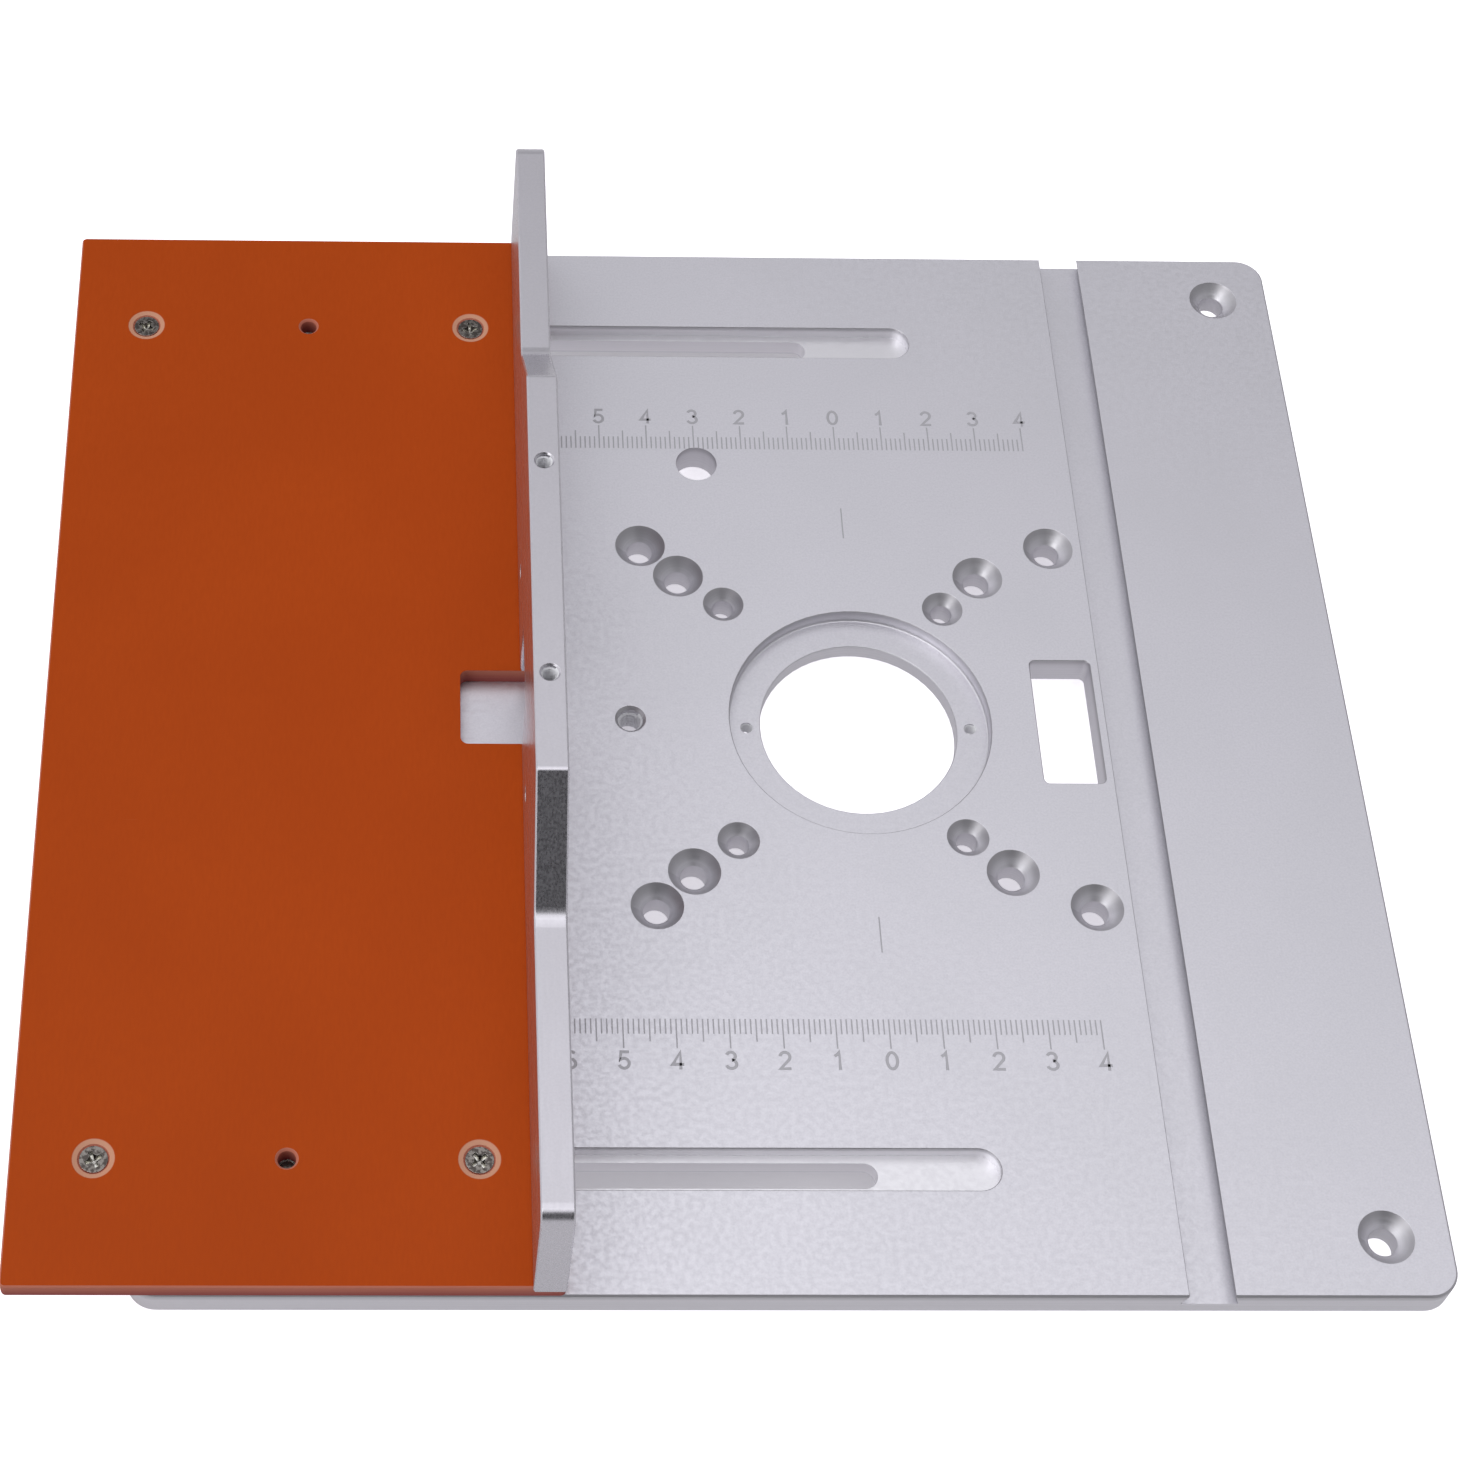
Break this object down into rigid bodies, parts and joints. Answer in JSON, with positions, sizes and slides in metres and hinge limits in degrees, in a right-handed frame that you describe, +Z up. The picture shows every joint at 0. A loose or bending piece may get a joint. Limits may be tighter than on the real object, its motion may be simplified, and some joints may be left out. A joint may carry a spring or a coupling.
{
  "type": "router table plate with sliding fence",
  "caption": "Aluminium router table plate with a collet hole, countersunk base holes, engraved scales and a fence on a board that slides in stepped slots and locks from below.",
  "frame": {"origin": "where the router's axis meets the plate's top face, at the centre of the ring recess", "axes": "+X along the scales towards the mitre groove, +Y away from the user, +Z up out of the plate"},
  "size_m": [0.2605, 0.2446, 0.0721],
  "materials": {
    "plate_aluminium": "fine sand-blasted, anodised",
    "board_laminate": "semi-gloss phenolic laminate",
    "fence_aluminium": "milled and anodised",
    "bar_aluminium": "milled",
    "screw_steel": "zinc plated",
    "washer_steel": "zinc plated",
    "bush_brass": "turned",
    "knob_plastic": "fine moulded texture"
  },
  "bodies": {
    "table": {"insert_plate": "plate_aluminium"},
    "fence": {"fence_board": "board_laminate", "fence_upright": "fence_aluminium", "guide_bar_far": "bar_aluminium", "guide_bar_near": "bar_aluminium", "guide_bar_screws": "screw_steel", "fence_foot_screws": "screw_steel", "lock_stud_far": "screw_steel", "lock_stud_near": "screw_steel"},
    "washer_far": {"lock_washer_far": "washer_steel"},
    "washer_near": {"lock_washer_near": "washer_steel"},
    "knob_far": {"lock_knob_far": "knob_plastic", "knob_bush_far": "bush_brass"},
    "knob_near": {"lock_knob_near": "knob_plastic", "knob_bush_near": "bush_brass"}
  },
  "joints": [
    {"name": "fence_slide", "type": "slide", "parent": "table", "child": "fence", "axis": [1, 0, 0], "range_m": [-0.02, 0.08]},
    {"name": "washer_far_drop", "type": "slide", "parent": "fence", "child": "washer_far", "axis": [0, 0, -1], "range_m": [0, 0.00141]},
    {"name": "washer_near_drop", "type": "slide", "parent": "fence", "child": "washer_near", "axis": [0, 0, -1], "range_m": [0, 0.00141]},
    {"name": "knob_far_turn", "type": "hinge", "parent": "washer_far", "child": "knob_far", "pos_m": [-0.112, 0.097, -0.0078], "axis": [0, 0, -1], "range_deg": [0, 720]},
    {"name": "knob_near_turn", "type": "hinge", "parent": "washer_near", "child": "knob_near", "pos_m": [-0.112, -0.097, -0.0078], "axis": [0, 0, -1], "range_deg": [0, 720]}
  ],
  "couplings": [
    {"joint": "washer_far_drop", "follows": "knob_far_turn", "m_per_rad": 0.00011141},
    {"joint": "washer_near_drop", "follows": "knob_near_turn", "m_per_rad": 0.00011141}
  ]
}
